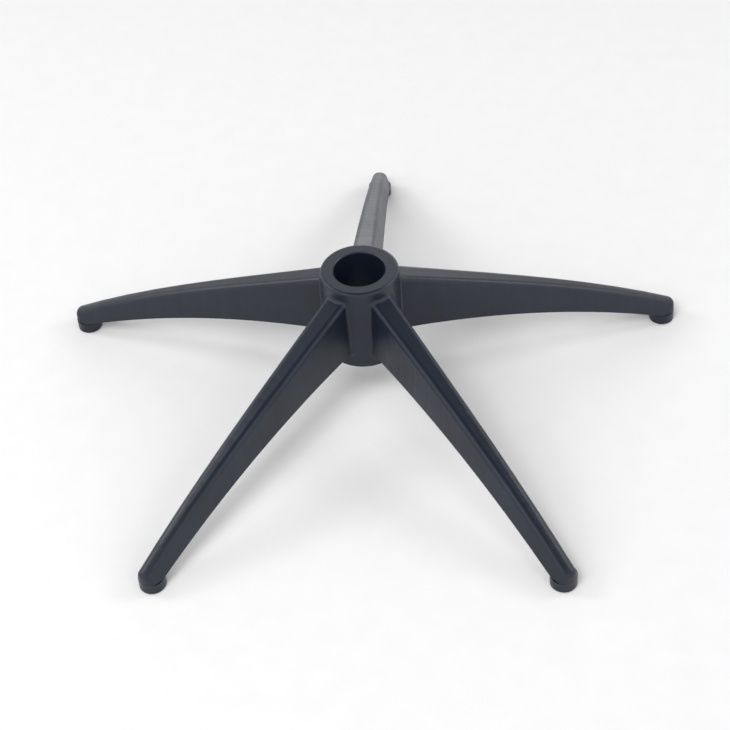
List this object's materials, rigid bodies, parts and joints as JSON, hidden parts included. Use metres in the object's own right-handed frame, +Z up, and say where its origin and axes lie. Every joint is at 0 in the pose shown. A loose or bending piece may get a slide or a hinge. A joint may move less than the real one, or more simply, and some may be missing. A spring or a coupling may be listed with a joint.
{
  "type": "swivel chair base",
  "caption": "Star-shaped moulded base for a swivel chair: arched arms open below run from a hub with a tapered column socket to round bosses that take caster stems.",
  "frame": {"origin": "on the hub's axis, in the plane of the five boss end faces that the casters seat against", "axes": "+Z up along the hub's axis, +Y along the first arm"},
  "size_m": [0.629, 0.5994, 0.156],
  "materials": {
    "nylon": "satin, fine texture"
  },
  "bodies": {
    "root": {"chair_base": "nylon"}
  },
  "joints": []
}
